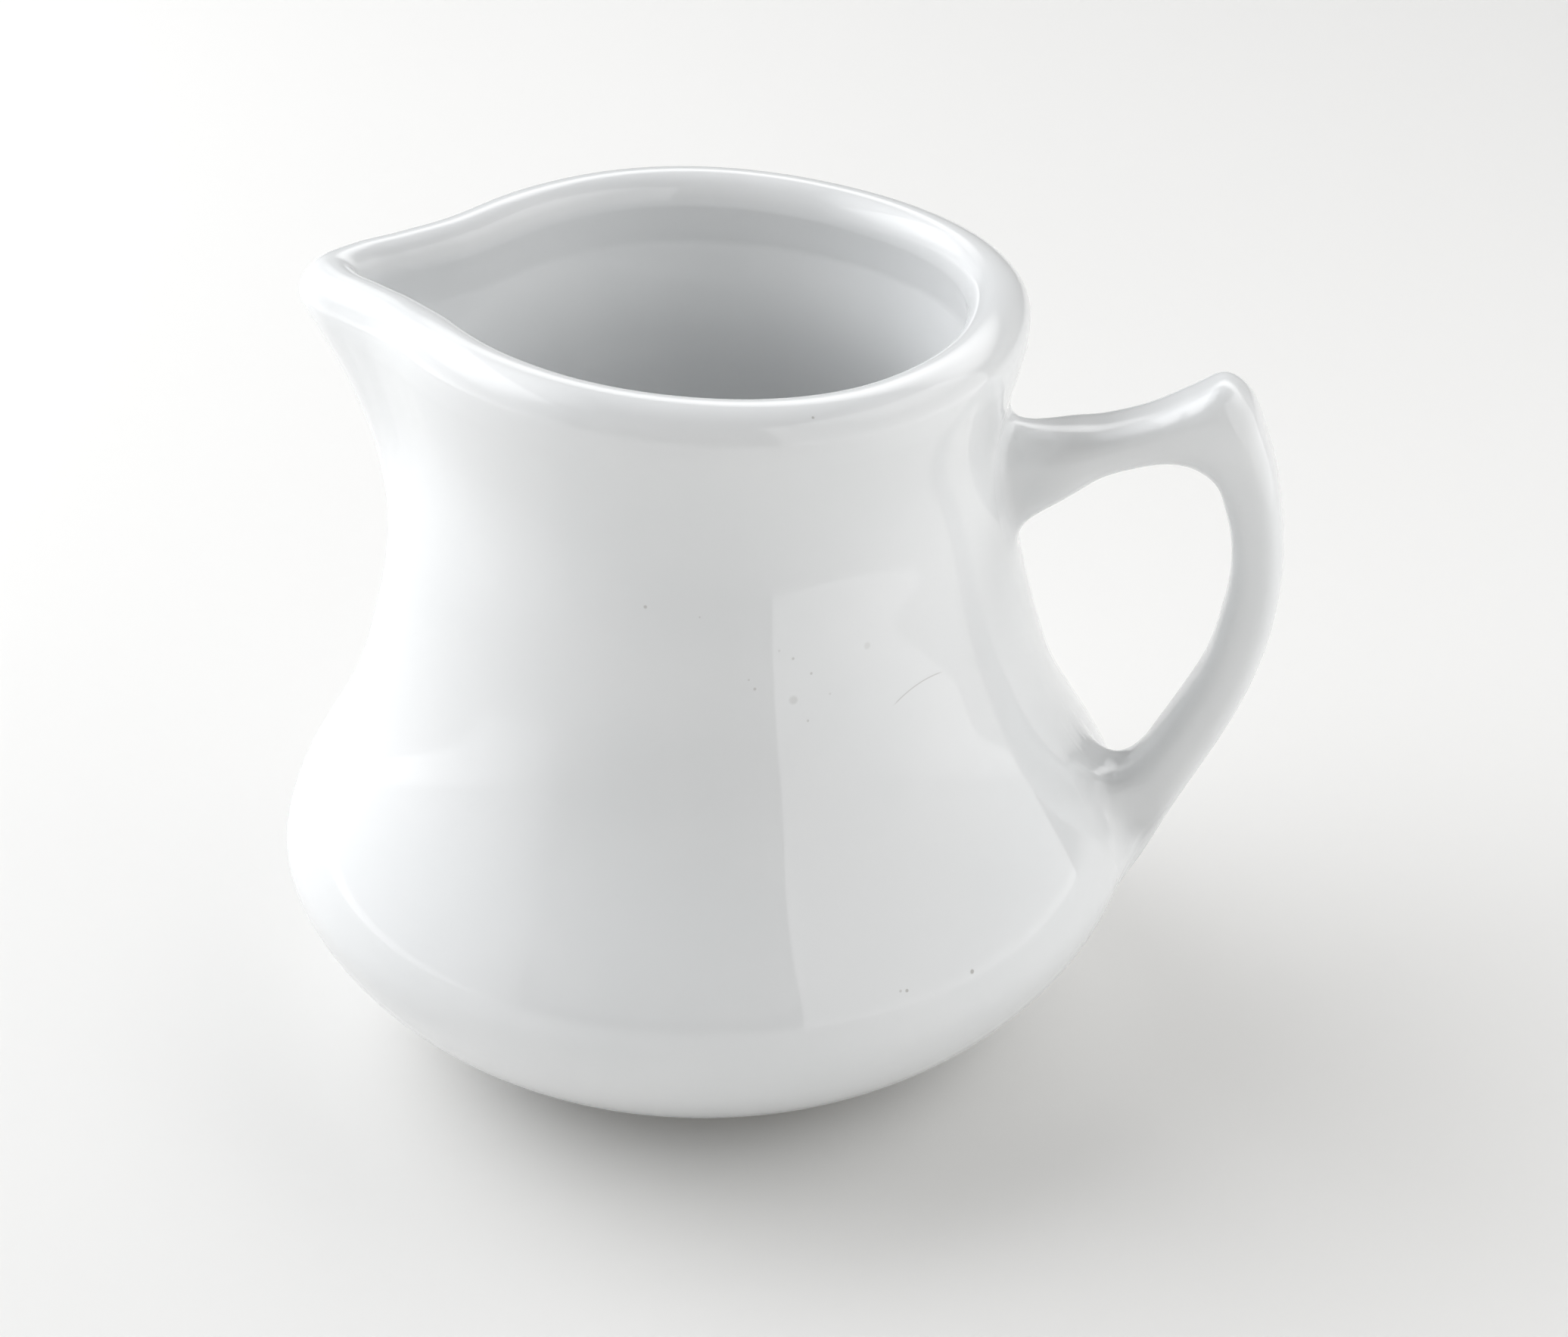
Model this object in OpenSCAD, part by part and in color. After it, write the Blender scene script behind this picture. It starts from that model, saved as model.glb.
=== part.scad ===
// Small glazed ceramic cream pitcher, in millimetres.
// A bell-shaped body with a rolled rim and a pinched spout stands on an unglazed foot ring.
// The handle is a separate casting, stuck to the body by a fillet of clay slip at each end.
// +Z is up, -X is the spout and +X the handle. The origin is the middle of the foot ring, on the
// table, so +Z is the body's own axis.

/* [Body] */
// Height of the rim above the table
height = 71.6; // [66:0.5:80]
// Outer radius of the belly at its widest
belly_r = 38.7; // [37:0.5:41]
// Height of the widest part of the belly
belly_z = 19.2; // [18:0.2:22]
// Outer radius of the neck at its narrowest
neck_r = 26.1; // [25:0.1:27]
// How far the narrowest part of the neck lies below the rim's top
neck_drop = 12.4; // [11:0.1:14]
// Outer radius of the rim
rim_r = 28; // [27:0.1:29]
// Thickness of the wall
wall = 4.2; // [3.5:0.1:5]
// Thickness of the floor
floor_t = 4.5; // [3.5:0.1:6]
// Fullness of the bowl under the belly, from 1 (a cone) to 2 (an ellipse)
bowl_fullness = 1.55; // [1.4:0.05:2]

/* [Foot ring] */
// Height of the foot ring
foot_h = 1.8; // [1:0.1:3]
// Outer radius of the foot ring
foot_r = 20.6; // [18:0.1:22]
// Width of the foot ring where it joins the body
foot_w = 3.6; // [2.6:0.1:5]
// Bevel on the two lower edges of the foot ring
foot_bevel = 0.6; // [0.2:0.1:0.8]

/* [Rim and spout] */
// Thickness of the rolled rim, outside its crown
rim_out = 3; // [2.2:0.1:3.2]
// Thickness of the rolled rim, inside its crown
rim_in = 2.4; // [1.8:0.1:2.6]
// Height of the rolled edge above its widest place
rim_h = 2.9; // [2:0.1:3.5]
// How far the spout's tip stands out beyond the round rim
spout_reach = 7.2; // [4:0.1:8]
// How much the rim's sides rise above its place over the handle
side_rise = 1; // [0:0.05:2]

/* [Handle] */
// Width of the handle's strap, across the pitcher
strap_w = 7; // [5:0.1:8]
// Squareness of the strap's section, from 2 (an ellipse) upwards
strap_square = 2.7; // [2:0.1:4]
// Width of the fillet beyond the strap on either side
fillet_w = 1.6; // [1.5:0.1:4]

/* [Fineness] */
// Columns of facets on each side of the body
half_columns = 36; // [24:2:40]
// Facets around the handle
strap_sides = 32; // [16:4:40]

/* [Hidden] */
GLAZE = [0.95, 0.95, 0.96];
BISQUE = [0.90, 0.87, 0.81];
SLIP = [0.86, 0.88, 0.92];

// --- Curves -------------------------------------------------------------------------------

// A point of the smooth curve through p, a fraction t of the way from p[i] to p[i + 1]
function curve_at(p, i, t) =
    let (n = len(p) - 1,
         a = i > 0 ? p[i - 1] : 2 * p[0] - p[1],
         b = p[i],
         c = p[i + 1],
         d = i + 2 <= n ? p[i + 2] : 2 * p[n] - p[n - 1])
    0.5 * (2 * b + (c - a) * t + (2 * a - 5 * b + 4 * c - d) * t * t
           + (3 * b - a - 3 * c + d) * t * t * t);

// The smooth curve through p, as steps points for each stretch and the last point
function curve(p, steps) =
    [for (i = [0 : len(p) - 2], k = [0 : steps - 1]) curve_at(p, i, k / steps), p[len(p) - 1]];

// A cubic arc that leaves a along the handle u and reaches d along the handle v
function arc(a, u, d, v, t) =
    a * pow(1 - t, 3) + 3 * (a + u) * t * pow(1 - t, 2) + 3 * (d - v) * t * t * (1 - t)
    + d * pow(t, 3);

function unit(v) = v / norm(v);

// --- Faces --------------------------------------------------------------------------------

// Faces that join rings of n points each and close both ends to the two points after them
function skin(rings, n) = concat(
    [for (r = [0 : rings - 2], k = [0 : n - 1])
        let (a = r * n + k, b = r * n + (k + 1) % n) [a, b, b + n]],
    [for (r = [0 : rings - 2], k = [0 : n - 1])
        let (a = r * n + k, b = r * n + (k + 1) % n) [a, b + n, a + n]],
    [for (k = [0 : n - 1]) [rings * n, (k + 1) % n, k]],
    [for (k = [0 : n - 1])
        let (a = (rings - 1) * n) [rings * n + 1, a + k, a + (k + 1) % n]]);

// A closed solid through rings of points, with a point at the middle of each end. The rings run
// clockwise as seen from the first end; reversed says that they run the other way.
module ring_solid(rings, first_middle, last_middle, reversed = false) {
    n = len(rings[0]);
    points = concat([for (ring = rings, p = ring) p], [first_middle, last_middle]);
    faces = skin(len(rings), n);
    polyhedron(points, reversed ? [for (f = faces) [f[2], f[1], f[0]]] : faces, convexity = 10);
}

// --- Body ---------------------------------------------------------------------------------

neck_z = height - neck_drop;
crown_z = height - rim_h;
crown_r = rim_r - rim_out;
bowl_steps = 12;

// The quarter curve of the bowl, from radius r0 at the bottom z0 out to r1 at the belly
function bowl(r0, z0, r1, z1) = [for (i = [0 : bowl_steps])
    let (a = 90 * i / bowl_steps, e = 2 / bowl_fullness)
    [r0 + (r1 - r0) * pow(sin(a), e), z1 - (z1 - z0) * pow(cos(a), e)]];

// Where the wall meets the rolled rim: how far inside its widest place and how far below it
lip_tuck = 0.1;
lip_drop = 1.4;

// The wall from belly to rim: [part of the way up to the neck, part of the way in to it]
WAIST = [[0.115, 0.135], [0.345, 0.545], [0.575, 0.775], [0.8, 0.92], [1, 1]];
function waist_points() = concat(
    [[belly_r, belly_z]],
    [for (w = WAIST) [belly_r - w[1] * (belly_r - neck_r), belly_z + w[0] * (neck_z - belly_z)]],
    [[rim_r - lip_tuck, crown_z - lip_drop]]);
waist_steps = 3;
waist = curve(waist_points(), waist_steps);

// The curve p moved inwards by the wall, square to itself
function moved_in(p, d) = [for (i = [0 : len(p) - 1])
    let (t = unit(p[min(i + 1, len(p) - 1)] - p[max(i - 1, 0)])) p[i] + d * [-t[1], t[0]]];

// Outer radius of the body at height z, away from the spout
outer_line = concat(bowl(foot_r, foot_h, belly_r, belly_z), [for (i = [1 : len(waist) - 1]) waist[i]]);
outer_table = [for (p = outer_line) [p[1], p[0]]];
function outer_r(z) = lookup(z, outer_table);

// How strongly the spout shows, as a part of its full reach: outside and inside the wall
SPOUT_OUT = [[0, 0], [44, 0], [47, 0.03], [50, 0.11], [53, 0.26], [56, 0.43], [59, 0.6],
             [62, 0.72], [64.5, 0.8], [67.2, 0.91], [69, 1], [80, 1]];
SPOUT_IN = [[0, 0], [46, 0], [52, 0.16], [57, 0.42], [61, 0.66], [65, 0.86], [69, 1], [80, 1]];
// How strongly the rim's rise shows
LIFT = [[0, 0], [50, 0], [66, 0.85], [69, 1], [80, 1]];

// The spout in plan: [angle from its middle, part of its reach], with the rim drawn in beside it
SPOUT_PLAN = [[-6, 0.78], [0, 1], [6, 0.78], [12, 0.42], [20, 0.09], [30, -0.09], [42, -0.13],
              [58, -0.1], [78, -0.04], [100, 0], [130, 0.05], [160, 0.03], [180, 0], [210, 0.03]];
// The rim's rise round the same angles, as a part of side_rise
RISE_PLAN = [[-20, 0.5], [0, 0.1], [20, 0.5], [35, 1.05], [50, 1.15], [65, 1.05], [80, 0.75],
             [95, 0.35], [112, -0.1], [130, -0.35], [150, -0.25], [180, 0], [210, -0.25]];
plan_steps = 8;
plan_line = curve(SPOUT_PLAN, plan_steps);
rise_line = curve(RISE_PLAN, plan_steps);
function spout_plan(a) = lookup(a, plan_line);
function rise_plan(a) = lookup(a, rise_line);

// Angle from the spout of column j, closer together at the spout
column_crowding = 1.2;
function column_angle(j) = let (s = (j > half_columns ? j - 2 * half_columns : j) / half_columns)
    180 * sign(s) * pow(abs(s), column_crowding);

// Plan line that the wall follows at weight w, as a radius r at angle a from the spout
function plan_point(r, w, a) = (r + w * spout_reach * spout_plan(abs(a))) * [-cos(a), -sin(a)];

// A point of the wall: station s = [radius of the plan line, distance out from it, height, spout, lift]
function wall_point(s, a) =
    let (c = plan_point(s[0], s[3], a),
         t = unit(plan_point(s[0], s[3], a + 0.5) - plan_point(s[0], s[3], a - 0.5)),
         p = c + s[1] * [t[1], -t[0]])
    [p[0], p[1], s[2] + s[4] * side_rise * rise_plan(abs(a))];

// The stations of the wall, from the middle of the underside, up the outside and down the inside
function outside_station(p) =
    [p[0] - rim_out, rim_out, p[1], lookup(p[1], SPOUT_OUT), lookup(p[1], LIFT)];
function inside_station(p) =
    [p[0] + rim_in, -rim_in, p[1], lookup(p[1], SPOUT_IN), lookup(p[1], LIFT)];
rim_steps = 6;
crown = concat(
    [for (i = [0 : rim_steps]) let (a = 90 * i / rim_steps)
        [crown_r, rim_out * cos(a), crown_z + rim_h * sin(a), 1, 1]],
    [for (i = [1 : rim_steps]) let (a = 90 * i / rim_steps)
        [crown_r, -rim_in * sin(a), crown_z + rim_h * cos(a), 1, 1]]);
floor_z = foot_h + floor_t;
inner_flat_r = 12;
inner_waist = moved_in(waist, wall);
inner_bowl = bowl(inner_flat_r, floor_z, belly_r - wall, belly_z);
inner_line = [for (i = [len(inner_waist) - 1 : -1 : 1]) if (inner_waist[i][1] < crown_z - rim_in)
    inner_waist[i]];
stations = concat(
    [[foot_r / 2 - rim_out, rim_out, foot_h, 0, 0]],
    [for (p = outer_line) outside_station(p)],
    crown,
    [for (p = inner_line) inside_station(p)],
    [for (i = [bowl_steps : -1 : 0]) inside_station(inner_bowl[i])]);
columns = 2 * half_columns;
body_rings = [for (s = stations) [for (j = [0 : columns - 1]) wall_point(s, column_angle(j))]];

// --- Handle -------------------------------------------------------------------------------

// Pairs of points of the handle in side view, from the body's axis and the table: on its outer
// edge and on the edge of the finger hole, from the neck, over the thumb rest, to the belly
RAILS = [
    [[32.0, 60.7], [32.2, 54.5]],
    [[34.7, 61.1], [34.9, 56.5]],
    [[38.4, 62.4], [38.0, 57.6]],
    [[41.7, 64.2], [40.4, 58.0]],
    [[44.6, 65.7], [42.6, 57.6]],
    [[46.9, 64.3], [44.4, 56.2]],
    [[48.4, 61.0], [45.3, 54.0]],
    [[49.8, 56.2], [46.0, 51.0]],
    [[50.6, 49.6], [46.1, 47.6]],
    [[50.2, 43.4], [45.6, 43.9]],
    [[48.8, 37.8], [44.4, 39.2]],
    [[46.7, 32.7], [42.3, 34.9]],
    [[44.2, 27.8], [40.0, 30.7]]];
// The strap's width along the handle, as a part of strap_w
WIDTHS = [[0, 1.08], [2, 0.98], [4, 1.05], [6, 0.96], [9, 0.9], [12, 1.06]];
rail_steps = 4;
outer_rail = curve([for (r = RAILS) r[0]], rail_steps);
inner_rail = curve([for (r = RAILS) r[1]], rail_steps);
rail_count = len(outer_rail);

// The strap's section at angle a: 0 is on the outer edge and 180 on the finger hole's
function section_point(o, i, w, a) =
    let (e = 2 / strap_square,
         u = sign(cos(a)) * pow(abs(cos(a)), e),
         v = sign(sin(a)) * pow(abs(sin(a)), e),
         m = (o + i) / 2,
         q = m + u * (o - i) / 2)
    [q[0], v * w / 2, q[1]];
function side_angle(k) = 360 * k / strap_sides;
function strap_ring(i) = let (w = strap_w * lookup(i / rail_steps, WIDTHS))
    [for (k = [0 : strap_sides - 1]) section_point(outer_rail[i], inner_rail[i], w, side_angle(k))];
function middle(i) = let (m = (outer_rail[i] + inner_rail[i]) / 2) [m[0], 0, m[1]];
handle_rings = [for (i = [0 : rail_count - 1]) strap_ring(i)];

// --- Slip joints --------------------------------------------------------------------------

joint_steps = 10;
base_steps = 3;
// How far the fillet follows the strap, and then the body, as a part of the gap between them
fillet_pull = 0.36;

// Each joint's footprint on the body: its top and bottom height, and half its width
UPPER_BASE = [62.9, 46.6, strap_w / 2 + fillet_w];
LOWER_BASE = [28.8, 13.8, strap_w / 2 + fillet_w + 0.2];

// A point of the body's surface in the footprint, a part k of the way out at angle a
function base_point(base, k, a) =
    let (z = (base[0] + base[1]) / 2 + k * cos(a) * (base[0] - base[1]) / 2,
         y = k * sin(a) * base[2])
    [sqrt(pow(outer_r(z), 2) - y * y), y, z];
function base_slope(base, a) = unit(base_point(base, 1, a) - base_point(base, 0.9, a));

// One ring of the fillet, a part t of the way from the strap to the body. flip is 1 where the
// strap's outer edge meets the top of the footprint and -1 where it meets the bottom.
function fillet_ring(base, i, before, flip, t) = [for (k = [0 : strap_sides - 1])
    let (a = side_angle(k),
         from = handle_rings[i][k],
         way = unit(from - handle_rings[before][k]),
         to = base_point(base, 1, base_angle(a, flip)),
         gap = norm(to - from))
    arc(from, way * gap * fillet_pull, to, base_slope(base, base_angle(a, flip)) * gap * fillet_pull, t)];
function base_angle(a, flip) = flip > 0 ? a : 180 - a;

module fillet(base, i, before, flip) {
    outer = [for (s = [0 : joint_steps]) fillet_ring(base, i, before, flip, s / joint_steps)];
    under = [for (s = [base_steps - 1 : -1 : 1]) [for (k = [0 : strap_sides - 1])
        base_point(base, s / base_steps, base_angle(side_angle(k), flip))]];
    ring_solid(concat(outer, under), middle(i), base_point(base, 0, 0), flip > 0);
}

// --- Pieces -------------------------------------------------------------------------------

// How much the foot ring narrows towards the table on each side
foot_taper = 0.35;

// Bowl, wall, rolled rim and pinched spout, cast in one
module body() {
    color(GLAZE) ring_solid(body_rings, [0, 0, foot_h], [0, 0, floor_z], true);
}

// Unglazed ring that the pitcher stands on
module foot_ring() {
    outer = foot_r - foot_taper;
    inner = foot_r - foot_w + foot_taper;
    color(BISQUE) rotate_extrude($fn = 96) polygon([
        [foot_r - foot_w, foot_h], [inner, foot_bevel], [inner + foot_bevel, 0],
        [outer - foot_bevel, 0], [outer, foot_bevel], [foot_r, foot_h]]);
}

// Strap handle with its raised thumb rest
module handle() {
    color(GLAZE) ring_solid(handle_rings, middle(0), middle(rail_count - 1));
}

// Fillet of slip between the strap and the neck
module upper_slip_joint() {
    color(SLIP) fillet(UPPER_BASE, 0, 1, 1);
}

// Fillet of slip between the strap and the belly
module lower_slip_joint() {
    color(SLIP) fillet(LOWER_BASE, rail_count - 1, rail_count - 2, -1);
}

body();
foot_ring();
handle();
upper_slip_joint();
lower_slip_joint();
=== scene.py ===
"""Looks for a small glazed cream pitcher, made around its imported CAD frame.

Every shape is worked out in millimetres, in the frame of the CAD part: +Z up, the spout
along -X, the handle along +X, and the origin in the middle of the foot ring on the table.
"""

import math

import bpy
import numpy as np
from mathutils import Matrix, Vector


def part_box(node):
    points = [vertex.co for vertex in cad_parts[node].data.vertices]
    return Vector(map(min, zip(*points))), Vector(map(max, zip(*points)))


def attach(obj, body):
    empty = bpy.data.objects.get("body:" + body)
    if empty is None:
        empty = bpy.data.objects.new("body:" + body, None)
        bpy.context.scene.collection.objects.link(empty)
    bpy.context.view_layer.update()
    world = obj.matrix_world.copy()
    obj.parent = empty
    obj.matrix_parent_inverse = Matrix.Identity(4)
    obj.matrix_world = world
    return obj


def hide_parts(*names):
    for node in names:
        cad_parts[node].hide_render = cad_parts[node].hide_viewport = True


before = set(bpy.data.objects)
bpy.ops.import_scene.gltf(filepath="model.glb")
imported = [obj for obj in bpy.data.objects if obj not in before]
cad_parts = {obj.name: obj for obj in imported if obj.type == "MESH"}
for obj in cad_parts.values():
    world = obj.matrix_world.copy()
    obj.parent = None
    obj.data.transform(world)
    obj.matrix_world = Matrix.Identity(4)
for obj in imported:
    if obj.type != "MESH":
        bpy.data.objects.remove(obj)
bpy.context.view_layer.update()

MM = 0.001

# --- Driving dimensions, the same as the CAD part's -------------------------------------------

BODY_HIGH, RING_HIGH = (np.array(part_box(node)[1]) / MM for node in ("body", "foot_ring"))

HEIGHT = 71.6
BELLY_R = BODY_HIGH[1]
BELLY_Z = 19.2
NECK_R = 26.1
NECK_DROP = 12.4
RIM_R = 28.0
WALL = 4.2
FLOOR = 4.5
BOWL_FULLNESS = 1.55
FOOT_H = RING_HIGH[2]
FOOT_R = RING_HIGH[0]
FOOT_W = 3.6
FOOT_TAPER = 0.35
FOOT_BEVEL = 0.6
RIM_OUT = 3.0
RIM_IN = 2.4
RIM_H = 2.9
LIP_TUCK = 0.1
LIP_DROP = 1.4
SPOUT_REACH = 7.2
SIDE_RISE = 1.0
STRAP_W = 7.0
STRAP_SQUARE = 2.7
INNER_FLAT_R = 12.0

NECK_Z = HEIGHT - NECK_DROP
CROWN_Z = HEIGHT - RIM_H
CROWN_R = RIM_R - RIM_OUT
FLOOR_Z = FOOT_H + FLOOR

# The wall from belly to rim: [part of the way up to the neck, part of the way in to it]
WAIST = [[0.115, 0.135], [0.345, 0.545], [0.575, 0.775], [0.8, 0.92], [1, 1]]
# How strongly the spout shows at each height, outside and inside the wall, and the rim's rise
SPOUT_OUT = [[0, 0], [44, 0], [47, 0.03], [50, 0.11], [53, 0.26], [56, 0.43], [59, 0.6],
             [62, 0.72], [64.5, 0.8], [67.2, 0.91], [69, 1], [80, 1]]
SPOUT_IN = [[0, 0], [46, 0], [52, 0.16], [57, 0.42], [61, 0.66], [65, 0.86], [69, 1], [80, 1]]
LIFT = [[0, 0], [50, 0], [66, 0.85], [69, 1], [80, 1]]
# The spout in plan, and the rim's rise: [angle from the spout, part of the reach or rise]
SPOUT_PLAN = [[-6, 0.78], [0, 1], [6, 0.78], [12, 0.42], [20, 0.09], [30, -0.09], [42, -0.13],
              [58, -0.1], [78, -0.04], [100, 0], [130, 0.05], [160, 0.03], [180, 0], [210, 0.03]]
RISE_PLAN = [[-20, 0.5], [0, 0.1], [20, 0.5], [35, 1.05], [50, 1.15], [65, 1.05], [80, 0.75],
             [95, 0.35], [112, -0.1], [130, -0.35], [150, -0.25], [180, 0], [210, -0.25]]
# Pairs of points on the handle's outer edge and on the finger hole's edge, neck to belly
RAILS = [
    [[32.0, 60.7], [32.2, 54.5]], [[34.7, 61.1], [34.9, 56.5]], [[38.4, 62.4], [38.0, 57.6]],
    [[41.7, 64.2], [40.4, 58.0]], [[44.6, 65.7], [42.6, 57.6]], [[46.9, 64.3], [44.4, 56.2]],
    [[48.4, 61.0], [45.3, 54.0]], [[49.8, 56.2], [46.0, 51.0]], [[50.6, 49.6], [46.1, 47.6]],
    [[50.2, 43.4], [45.6, 43.9]], [[48.8, 37.8], [44.4, 39.2]], [[46.7, 32.7], [42.3, 34.9]],
    [[44.2, 27.8], [40.0, 30.7]]]
# The strap's width along the handle, as a part of STRAP_W
WIDTHS = [[0, 1.08], [2, 0.98], [4, 1.05], [6, 0.96], [9, 0.9], [12, 1.06]]
# Each joint's footprint on the body (top and bottom height, half width) and its fillet's pull
UPPER_BASE = (62.9, 46.0, STRAP_W / 2 + 1.4, 0.55)
LOWER_BASE = (35.0, 12.3, STRAP_W / 2 + 3.0, 0.68)
# How deep a joint's edge and its underside lie in the body's wall
EDGE_DEPTH = 0.015
HIDDEN_DEPTH = 0.6

# Marks in the glaze: single specks (place, radius, strength) and one scratch, an arc of a circle
SPECKS = [
    [(27.3, -26.3, 21.55), 0.27, 1.0], [(22.3, -30.5, 21.9), 0.2, 0.9], [(21.8, -30.8, 22.0), 0.17, 0.6],
    [(13.2, -23.9, 70.6), 0.16, 0.8], [(0.0, -26.55, 54.1), 0.2, 0.7], [(8.9, -26.4, 47.2), 0.18, 0.6],
    [(4.4, -26.3, 53.4), 0.13, 0.4], [(8.4, -26.4, 48.0), 0.13, 0.4], [(11.8, -24.8, 49.4), 0.17, 0.6],
    [(13.2, -24.3, 47.9), 0.17, 0.6], [(11.9, -25.4, 45.9), 0.5, 0.35], [(13.1, -25.3, 44.0), 0.15, 0.5],
    [(10.7, -25.1, 50.2), 0.15, 0.3], [(14.7, -23.9, 45.9), 0.15, 0.3], [(17.4, -21.3, 49.2), 0.4, 0.25]]
ARC_CENTRE, ARC_MIDDLE, ARC_R, ARC_W = (21.92, -17.04, 35.71), (21.3, -18.7, 44.5), 9.0, 0.09

# --- Fineness of the meshes -------------------------------------------------------------------

COLUMNS = 288
BOWL_STEPS = 28
WAIST_STEPS = 12
RIM_STEPS = 14
STRAP_SIDES = 96
RAIL_STEPS = 12
JOINT_STEPS = 36
RING_COLUMNS = 192
FLOOR_COLUMNS = 96


# --- Curves -----------------------------------------------------------------------------------


def smooth_curve(points, steps):
    """The Catmull-Rom curve through points, as steps points for each stretch and the last."""
    p = np.array(points, float)
    p = np.vstack([2 * p[0] - p[1], p, 2 * p[-1] - p[-2]])
    t = (np.arange(steps) / steps)[:, None]
    stretches = []
    for a, b, c, d in zip(p, p[1:], p[2:], p[3:]):
        square, cube = 2 * a - 5 * b + 4 * c - d, 3 * b - a - 3 * c + d
        stretches.append(0.5 * (2 * b + (c - a) * t + square * t**2 + cube * t**3))
    return np.vstack(stretches + [p[-2:-1]])


def smooth_lookup(x, table):
    """Value at x of the smooth curve through table that never overshoots its points."""
    known, value = np.array(table, float).T
    gap = np.diff(known)
    slope = np.diff(value) / gap
    inner = np.zeros(len(known))
    flat = slope[:-1] * slope[1:] <= 0
    inner[1:-1] = np.where(flat, 0, 2 * slope[:-1] * slope[1:] / np.where(flat, 1, slope[:-1] + slope[1:]))
    i = np.clip(np.searchsorted(known, x, side="right") - 1, 0, len(gap) - 1)
    t = np.clip((x - known[i]) / gap[i], 0, 1)
    a, b = value[i], value[i + 1]
    u, v = inner[i] * gap[i], inner[i + 1] * gap[i]
    return a + t * u + t**2 * (3 * (b - a) - 2 * u - v) + t**3 * (u + v - 2 * (b - a))


def plan_lookup(x, table):
    """Value at x of the Catmull-Rom curve through table."""
    line = smooth_curve(table, 24)
    return np.interp(x, line[:, 0], line[:, 1])


def bezier(start, pull, end, push, t):
    """A cubic arc that leaves start along pull and reaches end along push."""
    return (
        start * (1 - t) ** 3
        + 3 * (start + pull) * t * (1 - t) ** 2
        + 3 * (end - push) * t**2 * (1 - t)
        + end * t**3
    )


def unit(v):
    return v / np.linalg.norm(v, axis=-1, keepdims=True)


def relaxed(line, reach):
    """The same line with its bends eased over about reach millimetres, and its ends kept."""
    travel = np.concatenate([[0], np.cumsum(np.linalg.norm(np.diff(line, axis=0), axis=1))])
    pad = np.arange(1, 25)[:, None] * reach / 8
    before = line[0] - unit(line[1] - line[0]) * pad[::-1]
    after = line[-1] + unit(line[-1] - line[-2]) * pad
    path = np.vstack([before, line, after])
    place = np.concatenate([-pad[::-1, 0], travel, travel[-1] + pad[:, 0]])
    weight = np.exp(-0.5 * ((travel[:, None] - place[None, :]) / reach) ** 2)
    weight *= np.gradient(place)[None, :]
    return (weight @ path) / weight.sum(1)[:, None]


# --- Body -------------------------------------------------------------------------------------


def bowl(r0, z0, r1, z1):
    """The bowl's quarter curve, from radius r0 at height z0 out to r1 at height z1."""
    a = np.linspace(0, math.pi / 2, BOWL_STEPS + 1)
    e = 2 / BOWL_FULLNESS
    return np.stack([r0 + (r1 - r0) * np.sin(a) ** e, z1 - (z1 - z0) * np.cos(a) ** e], 1)


def waist():
    """The wall's outer line from the belly up to the underside of the rim."""
    points = [[BELLY_R, BELLY_Z]]
    points += [[BELLY_R - w[1] * (BELLY_R - NECK_R), BELLY_Z + w[0] * (NECK_Z - BELLY_Z)] for w in WAIST]
    points += [[RIM_R - LIP_TUCK, CROWN_Z - LIP_DROP]]
    return smooth_curve(points, WAIST_STEPS)


def moved_in(line, distance):
    """The line moved inwards by distance, square to itself."""
    along = unit(np.gradient(line, axis=0))
    return line + distance * np.stack([-along[:, 1], along[:, 0]], 1)


OUTER = relaxed(np.vstack([bowl(FOOT_R, FOOT_H, BELLY_R, BELLY_Z), waist()[1:]]), 1.1)
INNER = np.vstack([bowl(INNER_FLAT_R, FLOOR_Z, BELLY_R - WALL, BELLY_Z), moved_in(waist(), WALL)[1:]])
INNER = relaxed(INNER[INNER[:, 1] < CROWN_Z - RIM_IN], 1.1)


def plan_point(r, weight, a):
    """Point of the plan line at radius r and spout weight, at angle a from the spout."""
    radius = r + weight * SPOUT_REACH * plan_lookup(np.abs(np.degrees(a)), SPOUT_PLAN)
    return radius[..., None] * np.stack([-np.cos(a), -np.sin(a)], -1)


def wall_point(station, a):
    """Point of the wall: station is radius, distance out from it, height, spout and lift."""
    r, out, z, spout, lift = np.moveaxis(station, -1, 0)
    step = math.radians(0.5)
    along = unit(plan_point(r, spout, a + step) - plan_point(r, spout, a - step))
    flat = plan_point(r, spout, a) + out[..., None] * np.stack([along[..., 1], -along[..., 0]], -1)
    rise = lift * SIDE_RISE * plan_lookup(np.abs(np.degrees(a)), RISE_PLAN)
    return np.concatenate([flat, (z + rise)[..., None]], -1)


def stations_along(line, out, spout_table):
    """The wall's stations on an outer or inner line that lies out from the plan line."""
    r, z = line.T
    same = np.full_like(r, out)
    return np.stack([r - same, same, z, smooth_lookup(z, spout_table), smooth_lookup(z, LIFT)], 1)


def crown():
    """Stations of the rolled rim, from its outer side over the top to its inner side."""
    a = np.linspace(0, math.pi / 2, RIM_STEPS + 1)[:, None]
    one, plan = np.ones_like(a), np.full_like(a, CROWN_R)
    outer = np.hstack([plan, RIM_OUT * np.cos(a), CROWN_Z + RIM_H * np.sin(a), one, one])
    inner = np.hstack([plan, -RIM_IN * np.sin(a), CROWN_Z + RIM_H * np.cos(a), one, one])
    return np.vstack([outer, inner[1:]])


def column_angles():
    """Angles round the wall, closer together at the spout."""
    s = (np.arange(COLUMNS) - COLUMNS // 2) / (COLUMNS / 2)
    return np.pi * np.sign(s) * np.abs(s) ** 1.2


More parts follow.
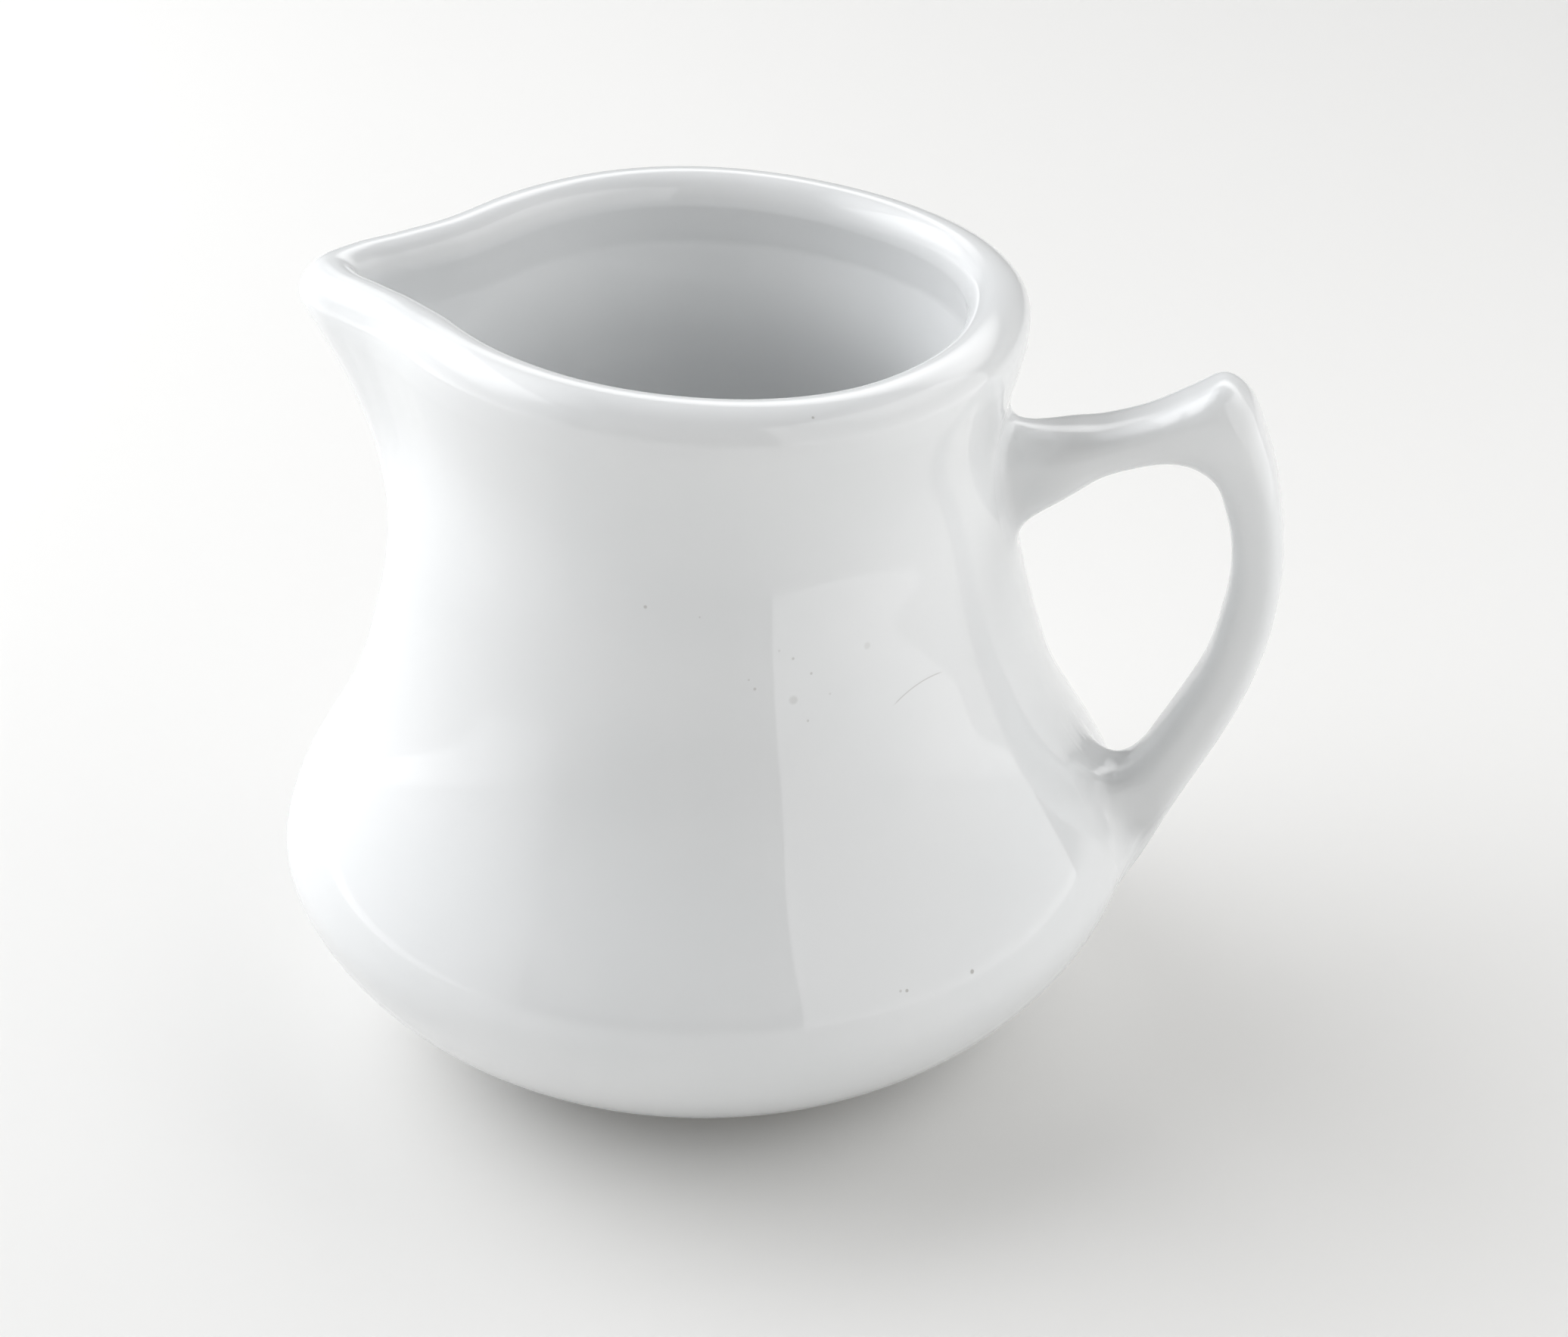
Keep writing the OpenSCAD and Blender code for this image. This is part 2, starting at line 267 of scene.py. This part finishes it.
def body_rings():
    """Rings of the wall from the underside, up the outside and down the inside."""
    underside = [[r - RIM_OUT, RIM_OUT, FOOT_H, 0, 0] for r in (FOOT_R * 0.25, FOOT_R * 0.6, FOOT_R * 0.9)]
    stations = np.vstack([
        underside,
        stations_along(OUTER, RIM_OUT, SPOUT_OUT),
        crown(),
        stations_along(INNER[::-1], -RIM_IN, SPOUT_IN),
        stations_along(np.array([[INNER_FLAT_R * k, FLOOR_Z] for k in (0.8, 0.45)]), -RIM_IN, SPOUT_IN),
    ])
    a = column_angles()
    return wall_point(np.repeat(stations[:, None], len(a), 1), np.repeat(a[None], len(stations), 0))


def outer_surface(z, a, depth=0.0):
    """Point of the body's outer surface at height z and angle a from the handle, sunk by depth."""
    r = np.interp(z, OUTER[:, 1], OUTER[:, 0])
    out = np.full_like(r, RIM_OUT)
    station = np.stack([r - out, out - depth, z, smooth_lookup(z, SPOUT_OUT), smooth_lookup(z, LIFT)], -1)
    return wall_point(station, math.pi + a)


# --- Handle and slip joints -------------------------------------------------------------------

STEPS_ALONG = np.arange((len(RAILS) - 1) * RAIL_STEPS + 1) / RAIL_STEPS
SIDE_ANGLES = 2 * np.pi * np.arange(STRAP_SIDES) / STRAP_SIDES


def handle_rings():
    """Rings of the strap from the neck to the belly, each starting on its outer edge."""
    outer, inner = (smooth_curve([pair[k] for pair in RAILS], RAIL_STEPS) for k in (0, 1))
    width = STRAP_W * smooth_lookup(STEPS_ALONG, WIDTHS)
    e = 2 / STRAP_SQUARE
    across = np.sign(np.cos(SIDE_ANGLES)) * np.abs(np.cos(SIDE_ANGLES)) ** e
    up = np.sign(np.sin(SIDE_ANGLES)) * np.abs(np.sin(SIDE_ANGLES)) ** e
    flat = ((outer + inner) / 2)[:, None] + across[None, :, None] * ((outer - inner) / 2)[:, None]
    y = up[None] * width[:, None] / 2
    return np.stack([flat[..., 0], y, flat[..., 1]], -1)


def footprint(base, part, a, depth):
    """Point of a joint's footprint, a part of the way out at angle a, sunk into the body."""
    top, bottom, half_width = base[:3]
    z = (top + bottom) / 2 + part * np.cos(a) * (top - bottom) / 2
    y = part * np.sin(a) * half_width
    turn = np.arcsin(y / np.interp(z, OUTER[:, 1], OUTER[:, 0]))
    return outer_surface(z, turn, depth)


def joint_rings(base, end, before, flip):
    """Rings of a fillet from the strap's end ring down to the body and in under its skin."""
    pull = base[3]
    a = SIDE_ANGLES if flip > 0 else math.pi - SIDE_ANGLES
    edge = footprint(base, 1, a, EDGE_DEPTH)
    fall = unit(edge - footprint(base, 0.97, a, EDGE_DEPTH))
    gap = np.linalg.norm(edge - end, axis=1)[:, None] * pull
    way = unit(end - before)
    steps = np.linspace(0, 1, JOINT_STEPS + 1)
    top = [bezier(end, way * gap, edge, fall * gap, t) for t in steps]
    under = [footprint(base, part, a, HIDDEN_DEPTH) for part in (0.97, 0.75, 0.4)]
    return np.array(top + under), footprint(base, 0, np.zeros(1), HIDDEN_DEPTH)[0]


# --- Meshes -----------------------------------------------------------------------------------


def outward(points, quads):
    """True if the four-cornered faces of a closed skin point out of it."""
    corners = points[quads]
    area = np.cross(corners[:, 2] - corners[:, 0], corners[:, 3] - corners[:, 1])
    return (corners.mean(1) * area).sum() > 0


def add_piece(name, points, faces, material, nodes):
    """A smooth piece of the visual model on the body root, from points in millimetres."""
    mesh = bpy.data.meshes.new(name)
    mesh.from_pydata((points * MM).tolist(), [], faces)
    mesh.polygons.foreach_set("use_smooth", np.ones(len(mesh.polygons), bool))
    mesh.materials.append(material)
    piece = bpy.data.objects.new(name, mesh)
    bpy.context.scene.collection.objects.link(piece)
    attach(piece, "root")
    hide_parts(*nodes)
    return piece


def ring_piece(name, rings, first, last, material, nodes, sharp_rings=()):
    """A closed piece through rings of points, with a middle point at each end."""
    count, n = rings.shape[:2]
    points = np.vstack([rings.reshape(-1, 3), [first, last]])
    k = np.arange(n)
    r = np.arange(count - 1)[:, None] * n
    quads = np.stack([r + k, r + (k + 1) % n, r + n + (k + 1) % n, r + n + k], -1).reshape(-1, 4)
    start = np.stack([np.full(n, count * n), (k + 1) % n, k], -1)
    end = np.stack([np.full(n, count * n + 1), (count - 1) * n + k, (count - 1) * n + (k + 1) % n], -1)
    if not outward(points, quads):
        quads, start, end = quads[:, ::-1], start[:, ::-1], end[:, ::-1]
    piece = add_piece(name, points, quads.tolist() + start.tolist() + end.tolist(), material, nodes)
    if sharp_rings:
        mesh = piece.data
        ends = np.zeros(len(mesh.edges) * 2, int)
        mesh.edges.foreach_get("vertices", ends)
        ring = ends.reshape(-1, 2) // n
        sharp = (ring[:, 0] == ring[:, 1]) & np.isin(ring[:, 0], [s % count for s in sharp_rings])
        mesh.attributes.new("sharp_edge", "BOOLEAN", "EDGE").data.foreach_set("value", sharp)
    return piece


def closed_ring_piece(name, rings, material, nodes):
    """A closed piece, ring-shaped itself: the last ring of points joins back to the first."""
    count, n = rings.shape[:2]
    k, r = np.arange(n), np.arange(count)[:, None]
    after = (r + 1) % count * n
    quads = np.stack([r * n + k, r * n + (k + 1) % n, after + (k + 1) % n, after + k], -1).reshape(-1, 4)
    points = rings.reshape(-1, 3)
    if not outward(points, quads):
        quads = quads[:, ::-1]
    return add_piece(name, points, quads.tolist(), material, nodes)


# --- Materials --------------------------------------------------------------------------------


def new_material(name):
    """An empty node material, with its tree, its shader and its object coordinates."""
    material = bpy.data.materials.new(name)
    material.use_nodes = True
    tree = material.node_tree
    shader = next(node for node in tree.nodes if node.type == "BSDF_PRINCIPLED")
    place = tree.nodes.new("ShaderNodeTexCoord").outputs["Object"]
    return material, tree, shader, place


def noise(tree, place, scale, detail=2.0, roughness=0.5):
    """Smooth noise, with features about one metre over scale wide."""
    node = tree.nodes.new("ShaderNodeTexNoise")
    node.inputs["Scale"].default_value = scale
    node.inputs["Detail"].default_value = detail
    node.inputs["Roughness"].default_value = roughness
    tree.links.new(place, node.inputs["Vector"])
    return node.outputs["Fac"]


def remap(tree, value, low, high, to_low, to_high):
    """value, taken from the range low to high into the range to_low to to_high, eased."""
    node = tree.nodes.new("ShaderNodeMapRange")
    node.interpolation_type = "SMOOTHSTEP"
    for socket, number in zip(("From Min", "From Max", "To Min", "To Max"), (low, high, to_low, to_high)):
        node.inputs[socket].default_value = number
    tree.links.new(value, node.inputs["Value"])
    return node.outputs["Result"]


def combine(tree, operation, a, b):
    """The result of one arithmetic operation on a and b, each a number or a socket."""
    node = tree.nodes.new("ShaderNodeMath")
    node.operation = operation
    for socket, value in zip(node.inputs, (a, b)):
        if isinstance(value, (int, float)):
            socket.default_value = value
        else:
            tree.links.new(value, socket)
    return node.outputs["Value"]


def tint(tree, factor, base, over):
    """The colour base, which may be a socket, going over to another colour by factor."""
    node = tree.nodes.new("ShaderNodeMix")
    node.data_type = "RGBA"
    tree.links.new(factor, node.inputs["Factor"])
    if isinstance(base, tuple):
        node.inputs["A"].default_value = (*base, 1)
    else:
        tree.links.new(base, node.inputs["A"])
    node.inputs["B"].default_value = (*over, 1)
    return node.outputs["Result"]


def bump(tree, height, distance, strength=1.0, below=None):
    """Surface direction of a relief of that depth in metres, on top of the one below."""
    node = tree.nodes.new("ShaderNodeBump")
    node.inputs["Distance"].default_value = distance
    node.inputs["Strength"].default_value = strength
    tree.links.new(height, node.inputs["Height"])
    if below is not None:
        tree.links.new(below, node.inputs["Normal"])
    return node.outputs["Normal"]


def specks(tree, place, per_metre, radius, share):
    """Small round dots strewn through the glaze: 1 inside a dot and 0 outside."""
    cells = tree.nodes.new("ShaderNodeTexVoronoi")
    cells.inputs["Scale"].default_value = per_metre
    tree.links.new(place, cells.inputs["Vector"])
    split = tree.nodes.new("ShaderNodeSeparateColor")
    tree.links.new(cells.outputs["Color"], split.inputs["Color"])
    dot = remap(tree, cells.outputs["Distance"], radius * per_metre * 0.5, radius * per_metre, 1, 0)
    chosen = combine(tree, "LESS_THAN", split.outputs["Red"], share)
    return combine(tree, "MULTIPLY", dot, chosen)


def distance_from(tree, place, centre):
    """How far a point is from a fixed centre, given in millimetres."""
    node = tree.nodes.new("ShaderNodeVectorMath")
    node.operation = "DISTANCE"
    tree.links.new(place, node.inputs[0])
    node.inputs[1].default_value = [MM * c for c in centre]
    return node.outputs["Value"]


def marks(tree, place):
    """The single specks and the fine scratch on the near side: 1 on a mark and 0 beside it."""
    found = None
    for centre, radius, strength in SPECKS:
        gap = distance_from(tree, place, centre)
        spot = remap(tree, gap, MM * radius * 0.4, MM * radius, strength, 0)
        found = combine(tree, "MAXIMUM", found, spot) if found else spot
    off_arc = combine(tree, "SUBTRACT", distance_from(tree, place, ARC_CENTRE), MM * ARC_R)
    line = remap(tree, combine(tree, "ABSOLUTE", off_arc, 0.0), 0, MM * ARC_W, 0.6, 0)
    near = remap(tree, distance_from(tree, place, ARC_MIDDLE), MM * 2.2, MM * 3.1, 1, 0)
    return combine(tree, "MAXIMUM", found, combine(tree, "MULTIPLY", line, near))


def glaze_material():
    """Glossy white glaze over china clay, faintly uneven, with a few specks and pinholes."""
    material, tree, shader, place = new_material("white_glaze")
    cloud = remap(tree, noise(tree, place, 55, 3), 0.35, 0.65, 0, 1)
    colour = tint(tree, cloud, (0.825, 0.835, 0.84), (0.805, 0.818, 0.824))
    dark = combine(tree, "MAXIMUM", specks(tree, place, 150, 0.00016, 0.1), marks(tree, place))
    colour = tint(tree, combine(tree, "MULTIPLY", dark, 0.6), colour, (0.30, 0.28, 0.25))
    tree.links.new(colour, shader.inputs["Base Color"])
    smudge = remap(tree, noise(tree, place, 90, 4, 0.6), 0.5, 0.8, 0.035, 0.09)
    tree.links.new(smudge, shader.inputs["Roughness"])
    shader.inputs["IOR"].default_value = 1.6
    swell = bump(tree, noise(tree, place, 70, 1), 0.00006)
    peel = bump(tree, noise(tree, place, 900, 2), 0.0000016, below=swell)
    pits = bump(tree, combine(tree, "SUBTRACT", 1.0, dark), 0.00002, 0.6, below=peel)
    tree.links.new(pits, shader.inputs["Normal"])
    return material


def bisque_material():
    """Bare fired clay, ground flat: matt, a little warm, with fine grit."""
    material, tree, shader, place = new_material("bare_clay")
    grit = noise(tree, place, 2600, 4, 0.7)
    colour = tint(tree, remap(tree, noise(tree, place, 140, 4), 0.35, 0.7, 0, 1),
                  (0.74, 0.71, 0.65), (0.64, 0.60, 0.53))
    colour = tint(tree, remap(tree, grit, 0.62, 0.75, 0, 0.5), colour, (0.42, 0.38, 0.33))
    tree.links.new(colour, shader.inputs["Base Color"])
    tree.links.new(remap(tree, grit, 0.3, 0.7, 0.75, 0.95), shader.inputs["Roughness"])
    tree.links.new(bump(tree, grit, 0.00005), shader.inputs["Normal"])
    return material


def floor_material():
    """Plain pale table."""
    material, tree, shader, place = new_material("pale_floor")
    colour = tint(tree, noise(tree, place, 3, 2), (0.81, 0.805, 0.792), (0.83, 0.825, 0.812))
    tree.links.new(colour, shader.inputs["Base Color"])
    shader.inputs["Roughness"].default_value = 0.7
    return material


# --- Pieces -----------------------------------------------------------------------------------


def make_body(glaze):
    ring_piece("glazed_body", body_rings(), (0, 0, FOOT_H), (0, 0, FLOOR_Z), glaze, ["body"])


def make_handle(glaze):
    rings = handle_rings()
    ring_piece("glazed_handle", rings, rings[0].mean(0), rings[-1].mean(0), glaze,
               ["handle"], sharp_rings=(0, -1))
    joints = (("upper_joint", "upper_slip_joint", UPPER_BASE, rings[0], rings[1], 1),
              ("lower_joint", "lower_slip_joint", LOWER_BASE, rings[-1], rings[-2], -1))
    for name, node, base, end, before, flip in joints:
        skin, middle = joint_rings(base, end, before, flip)
        ring_piece(name, skin, end.mean(0), middle, glaze, [node],
                   sharp_rings=(0, JOINT_STEPS))


def foot_profile():
    """Section of the foot ring as radius and height, its two lower edges rounded."""
    inner, outer, round_r = FOOT_R - FOOT_W + FOOT_TAPER, FOOT_R - FOOT_TAPER, FOOT_BEVEL
    a = np.linspace(0, math.pi / 2, 9)
    inner_round = [[inner + round_r * (1 - math.cos(t)), round_r * (1 - math.sin(t))] for t in a]
    outer_round = [[outer - round_r * (1 - math.sin(t)), round_r * (1 - math.cos(t))] for t in a]
    top = FOOT_H + 0.2
    return np.array([[FOOT_R - FOOT_W, top], *inner_round, *outer_round, [FOOT_R - 0.05, FOOT_H - 0.1],
                     [FOOT_R - 0.4, top]])


def make_foot(bisque):
    line = foot_profile()
    a = 2 * np.pi * np.arange(RING_COLUMNS) / RING_COLUMNS
    rings = np.stack([line[:, :1] * np.cos(a), line[:, :1] * np.sin(a),
                      np.repeat(line[:, 1:], RING_COLUMNS, 1)], -1)
    closed_ring_piece("bare_foot_ring", rings, bisque, ["foot_ring"])


# --- Camera, lights and floor -----------------------------------------------------------------

CAMERA_AZIMUTH = math.radians(9.0)
CAMERA_ELEVATION = math.radians(28.78)
CAMERA_TARGET = np.array([6.94, 1.10, 34.03])
CAMERA_DISTANCE = 312.4
CAMERA_LENS = 79.66


def make_camera():
    """A long lens that looks down on the pitcher's side, a little from the handle's end."""
    a, e = CAMERA_AZIMUTH, CAMERA_ELEVATION
    back = np.array([math.sin(a) * math.cos(e), -math.cos(a) * math.cos(e), math.sin(e)])
    right = np.array([math.cos(a), math.sin(a), 0])
    data = bpy.data.cameras.new("camera")
    data.lens = CAMERA_LENS
    data.sensor_width = 36
    data.sensor_fit = "HORIZONTAL"
    data.clip_start = 0.01
    camera = bpy.data.objects.new("camera", data)
    axes = np.column_stack([right, np.cross(back, right), back])
    place = np.eye(4)
    place[:3, :3] = axes
    place[:3, 3] = (CAMERA_TARGET + back * CAMERA_DISTANCE) * MM
    camera.matrix_world = Matrix(place.tolist())
    bpy.context.scene.collection.objects.link(camera)
    bpy.context.scene.camera = camera


def soft_box(name, azimuth, elevation, distance, aim_z, width, height, edge, bulge, round_bulge, colour):
    """A rectangular studio light that faces the pitcher's axis at the height aim_z.

    Azimuth and elevation, in degrees, say from where. Its face glows with the strength edge all
    over, and bulge more than that along its middle, or only at its centre if round_bulge is set."""
    a, e = math.radians(azimuth), math.radians(elevation)
    away = np.array([math.sin(a) * math.cos(e), -math.cos(a) * math.cos(e), math.sin(e)])
    right = np.array([math.cos(a), math.sin(a), 0])
    data = bpy.data.lights.new(name, "AREA")
    data.shape = "RECTANGLE"
    data.size, data.size_y = width, height
    data.energy = math.pi * width * height
    data.color = colour
    if bulge:
        data.use_nodes = True
        glow(data.node_tree, edge, bulge, round_bulge)
    else:
        data.energy *= edge
    light = bpy.data.objects.new(name, data)
    place = np.eye(4)
    place[:3, :3] = np.column_stack([right, np.cross(away, right), away])
    place[:3, 3] = away * distance + np.array([0, 0, aim_z])
    light.matrix_world = Matrix(place.tolist())
    light.visible_camera = False
    bpy.context.scene.collection.objects.link(light)


def glow(tree, edge, bulge, round_bulge):
    """Strength over a soft box's face, which falls off smoothly from its middle to its border."""
    emission = next(node for node in tree.nodes if node.type == "EMISSION")
    face = tree.nodes.new("ShaderNodeSeparateXYZ")
    tree.links.new(tree.nodes.new("ShaderNodeNewGeometry").outputs["Parametric"], face.inputs["Vector"])
    hump = 1.0
    for axis in ("X", "Y") if round_bulge else ("X",):
        across = face.outputs[axis]
        arch = combine(tree, "MULTIPLY", across, combine(tree, "SUBTRACT", 1.0, across))
        hump = combine(tree, "MULTIPLY", combine(tree, "MULTIPLY", arch, 4.0), hump)
    strength = combine(tree, "ADD", combine(tree, "MULTIPLY", hump, bulge), edge)
    tree.links.new(strength, emission.inputs["Strength"])


COOL, NEUTRAL, WARM = (0.975, 0.985, 1.0), (1.0, 1.0, 1.0), (1.0, 0.985, 0.955)
# Each soft box: name, azimuth, elevation, distance, aim height, width, height, edge, bulge,
# round bulge and colour, as soft_box takes them, in metres and degrees
SOFT_BOXES = [
    ("left_wall", -95, 0, 0.30, 0.225, 1.04, 0.45, 0.0, 1.4, False, COOL),
    ("left_key", -98, 45, 1.0, 0.036, 1.5, 1.1, 0.0, 3.0, True, COOL),
    ("right_wall", 74, 0, 0.235, 0.18, 0.423, 0.36, 1.0, 0.0, False, NEUTRAL),
    ("right_key", 100, 43, 1.0, 0.036, 1.3, 0.8, 0.0, 1.0, True, NEUTRAL),
    ("back_box", 165, 43, 1.0, 0.036, 1.9, 0.55, 0.0, 2.7, True, NEUTRAL),
    ("front_fill", 0, 30, 1.0, 0.036, 1.3, 0.95, 0.14, 0.0, False, WARM)]
WORLD_STRENGTH = 0.01

# The table's flat radius, the radius of its upward bend, and the backdrop's height, in metres
TABLE_R = 1.5
BEND_R = 0.6
BACKDROP_H = 2.5


def make_lights():
    """Two soft walls standing on the table beside the pitcher, and soft boxes above them."""
    for box in SOFT_BOXES:
        soft_box(*box)
    world = bpy.data.worlds.new("studio")
    bpy.context.scene.world = world
    world.use_nodes = True
    shade = world.node_tree.nodes["Background"]
    shade.inputs["Color"].default_value = (1.0, 1.0, 1.0, 1)
    shade.inputs["Strength"].default_value = WORLD_STRENGTH


def make_floor():
    """A wide round pale table, with its edge curved up into a backdrop on every side."""
    n = FLOOR_COLUMNS
    bend = np.linspace(0, math.pi / 2, 13)
    curve = [[TABLE_R + BEND_R * math.sin(t), BEND_R * (1 - math.cos(t))] for t in bend]
    profile = [[TABLE_R / 3, 0.0], *curve, [TABLE_R + BEND_R, BACKDROP_H]]
    turns = np.linspace(0, 2 * math.pi, n, endpoint=False)
    points = [(0.0, 0.0, 0.0)]
    points += [(r * math.cos(t), r * math.sin(t), z) for r, z in profile for t in turns]
    faces = [(0, 1 + k, 1 + (k + 1) % n) for k in range(n)]
    for first in range(1, 1 + n * (len(profile) - 1), n):
        for k in range(n):
            after = (k + 1) % n
            faces.append((first + k, first + n + k, first + n + after, first + after))
    mesh = bpy.data.meshes.new("floor")
    mesh.from_pydata(points, [], faces)
    mesh.polygons.foreach_set("use_smooth", np.ones(len(faces), bool))
    mesh.materials.append(floor_material())
    floor = bpy.data.objects.new("floor", mesh)
    bpy.context.scene.collection.objects.link(floor)


glaze = glaze_material()
make_body(glaze)
make_handle(glaze)
make_foot(bisque_material())
make_floor()
make_lights()
make_camera()
bpy.context.scene.view_settings.view_transform = "Standard"
